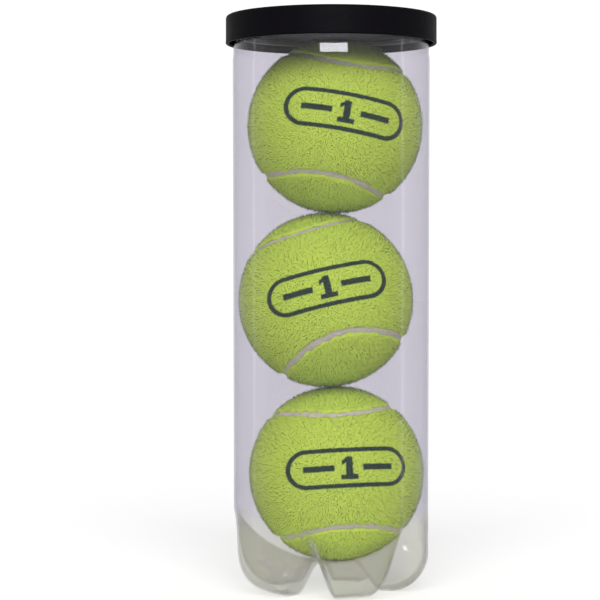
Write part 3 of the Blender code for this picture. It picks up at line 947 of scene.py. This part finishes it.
def beside_seam(turn, offset):
    """Directions to points beside the seam; offsets are in radians."""
    here, side = seam_points(turn), seam_sides(turn)
    offset = np.asarray(offset)[..., None]
    return unit(here * np.cos(offset) + side * np.sin(offset))


def swirl(place):
    """How the fibres lie over at a place: three readings of one noise, far apart."""
    return [noise.noise(place + Vector((apart, 0.0, 0.0))) for apart in (0.0, 31.0, 62.0)]


def seam_finder():
    """A tree that finds the nearest point of the seam on a ball of radius 1."""
    points = seam_points(np.linspace(0.0, math.tau, 1440, endpoint=False))
    tree = kdtree.KDTree(len(points))
    for index, point in enumerate(points):
        tree.insert(point, index)
    tree.balance()
    return tree


class BALLCAN_OT_balls(bpy.types.Operator):
    """Build the three balls: felt panels, seam and raised nap"""

    bl_idname = "ballcan.balls"
    bl_label = "Felt Balls"

    def relief(self, look, direction, gap, seed):
        """Radius of the felt in a direction: matted lumps, and a rounded edge near the seam."""
        place = Vector(direction) * 12.0 + seed
        lumps = noise.fractal(place, 1.0, 2.1, 3) * LUMPS
        edge = EDGE_ROUNDING * math.exp(-max(gap, 0.0) / EDGE_ROUNDING)
        return look.radius - 0.08 * MM + lumps - edge

    def felt_panel(self, name, look, seed, tree, flip, spin, material):
        """One dumbbell of felt, closed, with a ragged edge along the seam."""
        rows, columns = 280, 40
        inset = (look.seam_width / 2.0 - EDGE_OVERLAP) / look.radius
        swing = math.pi * (np.arange(rows + 1) / rows - 0.5)
        torn = [
            np.array([noise.fractal(Vector((value * 12.0, *row)), 0.45, 2.3, 5) for value in swing])
            for row in ((seed.x, 0.0), (seed.y, 5.0))
        ]
        left = beside_seam(math.pi / 4.0 + swing, inset + torn[0] * RAGGEDNESS / look.radius)
        right = beside_seam(5.0 * math.pi / 4.0 - swing, inset + torn[1] * RAGGEDNESS / look.radius)
        even = np.arange(columns + 1) / columns
        crowding = 0.35 + 0.65 * np.abs(1.0 - 2.0 * even) ** 0.5
        share = 0.5 - 0.5 * np.sin((0.5 - even) * math.pi) * crowding
        share = (share - share[0]) / (share[-1] - share[0])
        angle = np.arccos(np.clip((left * right).sum(-1), -1.0, 1.0))[:, None, None]
        angle = np.maximum(angle, 1e-6)
        share = share[None, :, None]
        grid = left[:, None] * np.sin((1.0 - share) * angle) + right[:, None] * np.sin(share * angle)
        grid = unit(grid / np.sin(angle))
        points = []
        for direction in grid.reshape(-1, 3):
            _, _, distance = tree.find(direction)
            gap = distance * look.radius - look.seam_width / 2.0 + 0.3 * MM
            points.append(direction * self.relief(look, direction, gap, seed))
        outer = np.array(points)
        inner = grid.reshape(-1, 3) * (look.radius - look.felt)
        count = len(outer)
        faces = []
        across = columns + 1
        for row in range(rows):
            for column in range(columns):
                first = row * across + column
                faces.append((first, first + 1, first + across + 1, first + across))
                lower = first + count
                faces.append((lower, lower + across, lower + across + 1, lower + 1))
            for first, step in ((row * across, 1), (row * across + columns, -1)):
                ends = (first, first + across, first + across + count, first + count)
                faces.append(ends[::step])
        for column in range(columns):
            for first, step in ((column, -1), (rows * across + column, 1)):
                ends = (first, first + 1, first + 1 + count, first + count)
                faces.append(ends[::-step])
        points = np.concatenate((outer, inner))
        if flip:
            points = points * (1.0, -1.0, -1.0)
        return piece_from(name, points @ spin.T, faces, material, 70.0)

    def seam(self, name, look, spin, seed, material):
        """The seam's rubber: a low crowned strip whose edges run under the felt."""
        steps, across = 720, 8
        turns = np.linspace(0.0, math.tau, steps, endpoint=False)
        width = look.seam_width / 2.0 + SEAM_MARGIN
        rings = []
        for column in range(across + 1):
            share = 2.0 * column / across - 1.0
            crown = 0.18 * MM * (1.0 - share * share)
            rough = np.array([noise.noise(Vector((turn * 14.0, share * 2.0, seed.z))) for turn in turns])
            radius = look.radius - SEAM_DEPTH + crown + rough * 0.10 * MM
            rings.append(beside_seam(turns, np.full(steps, -share * width / look.radius)) * radius[:, None])
        for share in (1.0, -1.0):
            inner = look.radius - look.felt
            rings.append(beside_seam(turns, np.full(steps, -share * width / look.radius)) * inner)
        points = np.concatenate(rings) @ spin.T
        faces = []
        count = len(rings)
        for ring in range(count):
            beside = (ring + 1) % count
            for step in range(steps):
                after = (step + 1) % steps
                first, last = ring * steps, beside * steps
                faces.append((first + step, first + after, last + after, last + step))
        return piece_from(name, points, faces, material, 60.0)

    def nap(self, name, look, seed, tree, spin, material, random):
        """The raised fibres: thin curved blades that lie over in swirls and hang over the seam."""
        count = look.fibres
        index = np.arange(count) + 0.5
        height = 1.0 - 2.0 * index / count
        golden_turn = math.pi * (1.0 + math.sqrt(5.0))
        turn = golden_turn * index
        flat = np.sqrt(1.0 - height**2)
        roots = np.stack((flat * np.cos(turn), flat * np.sin(turn), height), -1)
        roots = unit(roots + random.normal(0.0, 0.008, (count, 3)))
        kept, radii = [], []
        for root in roots:
            _, _, distance = tree.find(root)
            gap = distance * look.radius - look.seam_width / 2.0 - 0.1 * MM
            if gap > 0.0:
                kept.append(root)
                radii.append(self.relief(look, root, gap, seed))
        roots = np.array(kept)
        radii = np.array(radii)[:, None] - 0.05 * MM
        count = len(roots)
        swirls = np.array([swirl(Vector(root) * 4.0 + seed) for root in roots])
        lean = swirls * 0.5 + random.normal(0.0, 1.0, (count, 3))
        lean = unit(lean - roots * (lean * roots).sum(-1, keepdims=True))
        across = np.cross(roots, lean)
        length = look.nap * random.uniform(0.4, 1.0, (count, 1))
        rise = random.uniform(0.35, 1.0, (count, 1)) * length
        half = random.uniform(0.04, 0.08, (count, 1)) * MM
        base = roots * radii
        bend = base + lean * length * 0.25 + roots * rise * 0.6
        tip = base + lean * length * 0.65 + roots * rise * random.uniform(0.7, 1.05, (count, 1))
        foot, knee = across * half, across * half * 0.8
        shape = np.stack((base - foot, base + foot, bend - knee, bend + knee, tip), 1)
        points = shape.reshape(-1, 3) @ spin.T
        faces = []
        for first in range(0, 5 * count, 5):
            faces.append((first, first + 1, first + 3, first + 2))
            faces.append((first + 2, first + 3, first + 4))
        piece = piece_from(name, points, faces, material)
        normals = np.repeat(roots @ spin.T, 5, axis=0)
        piece.data.normals_split_custom_set_from_vertices([tuple(normal) for normal in normals])
        return piece

    def execute(self, context):
        look = settings("ball_look")
        tree = seam_finder()
        rubber = seam_rubber()
        random = np.random.default_rng(7)
        for index, ball in enumerate(BALLS):
            centre = ball_centre(ball)
            spin = np.array(Euler([math.radians(turn) for turn in BALL_TURNS[ball]]).to_matrix())
            seed = Vector((3.1 * index + 1.0, 7.7 * index, 2.3 * index + 4.0))
            cloth = felt(ball + "_felt", BALL_MARKS[ball])
            made = []
            for suffix, flip in (("a", False), ("b", True)):
                panel = self.felt_panel(f"{ball}_felt_{suffix}", look, seed, tree, flip, spin, cloth)
                made.append((panel, "ball_felt", f"{ball}_felt_panel_{suffix}"))
            strip = self.seam(ball + "_seam_strip", look, spin, seed, rubber)
            made.append((strip, "ball_seam_rubber", ball + "_seam"))
            fuzz = self.nap(ball + "_nap", look, seed, tree, spin, cloth, random)
            fuzz.visible_shadow = False
            made.append((fuzz, "ball_felt", None))
            for piece, slot, node in made:
                piece.location = centre
                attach(piece, BODY_OF_BALL[ball])
                if node:
                    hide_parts(node)
        return {"FINISHED"}


class BALLCAN_OT_inner(bpy.types.Operator):
    """Finish the pieces that stay inside: ball cores, their cement and the sealing compound"""

    bl_idname = "ballcan.inner_pieces"
    bl_label = "Inner Pieces"

    def execute(self, context):
        core = hidden_rubber("core_rubber", (0.025, 0.025, 0.025), (0.06, 0.058, 0.055), 300.0)
        cement = hidden_rubber("core_cement", (0.40, 0.35, 0.24), (0.58, 0.53, 0.40), 500.0)
        compound = hidden_rubber("seam_compound_rubber", (0.42, 0.37, 0.30), (0.58, 0.53, 0.45), 600.0)
        finishes = {"core_half_a": core, "core_half_b": core, "core_cement": cement, "compound": compound}
        for name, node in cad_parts.items():
            for ending, finish in finishes.items():
                if name.endswith(ending):
                    node.data.materials.clear()
                    node.data.materials.append(finish)
        return {"FINISHED"}


# Stage

LAMPS_AIM = Vector((0.0, 0.0, 0.11))
KEY_FROM = (0.0, -1.0, 0.81)
KEY_SPREAD = math.radians(50.0)
SOFTBOX_AT = (0.075, -1.5, 0.63)
STRIPS_AT = {"strip_left": (-1.0, 0.2, 0.35), "strip_right": (1.0, 0.02, 0.35)}
WHITE_BACKDROP = 1.05
DIM_FRONT = 0.12


class BALLCAN_OT_stage(bpy.types.Operator):
    """Set the floor, the lamps and the camera"""

    bl_idname = "ballcan.stage"
    bl_label = "Stage"

    def lamp(self, name, kind, location, energy, seen_by, **shape):
        """A lamp that points at the middle of the can; it lights either colour or gloss."""
        data = bpy.data.lights.new(name, kind)
        data.energy = energy
        for key, value in shape.items():
            setattr(data, key, value)
        lamp = bpy.data.objects.new(name, data)
        lamp.location = location
        lamp.rotation_euler = (LAMPS_AIM - lamp.location).to_track_quat("-Z", "Y").to_euler()
        lamp.visible_camera = False
        lamp.visible_diffuse = seen_by == "colour"
        lamp.visible_glossy = seen_by == "gloss"
        bpy.context.scene.collection.objects.link(lamp)

    def execute(self, context):
        look = settings("stage_look")
        scene = context.scene
        scene.view_settings.view_transform = "Standard"
        reach = 6.0
        corners = [(-reach, -reach, 0.0), (reach, -reach, 0.0), (reach, reach, 0.0), (-reach, reach, 0.0)]
        floor = piece_from("floor", corners, [(0, 1, 2, 3)], studio_floor())
        floor.visible_glossy = False

        sky = Sheet("studio", bpy.data.worlds)
        path = sky.node("ShaderNodeLightPath")
        behind = sky.node("ShaderNodeTexCoord", output="Generated").along((0.0, 1.0, 0.0))
        mirrored = DIM_FRONT + (behind.ease(-0.35, 0.15) + behind.ease(0.35, 0.9)) * look.backdrop
        inputs = {0: path.beside("Is Glossy Ray"), 2: look.fill, 3: mirrored}
        strength = sky.node("ShaderNodeMix", {"data_type": "FLOAT"}, inputs)
        strength = strength.most(path.beside("Is Camera Ray") * WHITE_BACKDROP)
        white = sky.node("ShaderNodeBackground", None, {"Color": (1.0, 1.0, 1.0), "Strength": strength})
        sky.node("ShaderNodeOutputWorld", None, (white,))
        scene.world = sky.owner

        self.lamp("key", "SUN", KEY_FROM, look.key, "colour", angle=KEY_SPREAD)
        window = {"shape": "RECTANGLE", "size": 0.87, "size_y": 0.30}
        self.lamp("softbox", "AREA", SOFTBOX_AT, look.softbox, "gloss", **window)
        strip = {"shape": "RECTANGLE", "size": 0.05, "size_y": 0.9}
        for name, location in STRIPS_AT.items():
            self.lamp(name, "AREA", location, look.strip, "gloss", **strip)

        camera = bpy.data.objects.new("camera", bpy.data.cameras.new("camera"))
        camera.data.lens = look.lens
        camera.data.sensor_width = 36.0
        camera.data.clip_start = 0.01
        camera.location = (0.0, -look.distance, look.height)
        camera.rotation_euler = (math.pi / 2.0 - look.tilt, 0.0, look.pan)
        scene.collection.objects.link(camera)
        scene.camera = camera
        return {"FINISHED"}


OPERATORS = (
    BALLCAN_OT_body,
    BALLCAN_OT_end,
    BALLCAN_OT_ring_pull,
    BALLCAN_OT_cap,
    BALLCAN_OT_balls,
    BALLCAN_OT_inner,
    BALLCAN_OT_stage,
)

LOOKS = {
    "can_body_look": BodySettings,
    "ball_look": BallSettings,
    "metal_look": MetalSettings,
    "cap_look": CapSettings,
    "stage_look": StageSettings,
}


class BALLCAN_PT_panel(bpy.types.Panel):
    """Settings and build steps of the can"""

    bl_idname = "BALLCAN_PT_panel"
    bl_label = "Tennis Ball Can"
    bl_space_type = "VIEW_3D"
    bl_region_type = "UI"
    bl_category = "Ball Can"

    def draw(self, context):
        for operator in OPERATORS:
            self.layout.operator(operator.bl_idname)
        for name in LOOKS:
            box = self.layout.box()
            for key in settings(name).bl_rna.properties.keys():
                if key not in ("rna_type", "name"):
                    box.prop(settings(name), key)


def register():
    """Register the settings, the operators and the panel."""
    for group in LOOKS.values():
        bpy.utils.register_class(group)
    for item in (*OPERATORS, BALLCAN_PT_panel):
        bpy.utils.register_class(item)
    for name, group in LOOKS.items():
        setattr(bpy.types.Scene, name, PointerProperty(type=group))


def unregister():
    """Take them all away again."""
    for name in LOOKS:
        delattr(bpy.types.Scene, name)
    for item in (BALLCAN_PT_panel, *OPERATORS, *LOOKS.values()):
        bpy.utils.unregister_class(item)


def main():
    """Build every piece."""
    register()
    for operator in OPERATORS:
        group, name = operator.bl_idname.split(".")
        getattr(getattr(bpy.ops, group), name)()


if __name__ == "__main__":
    main()
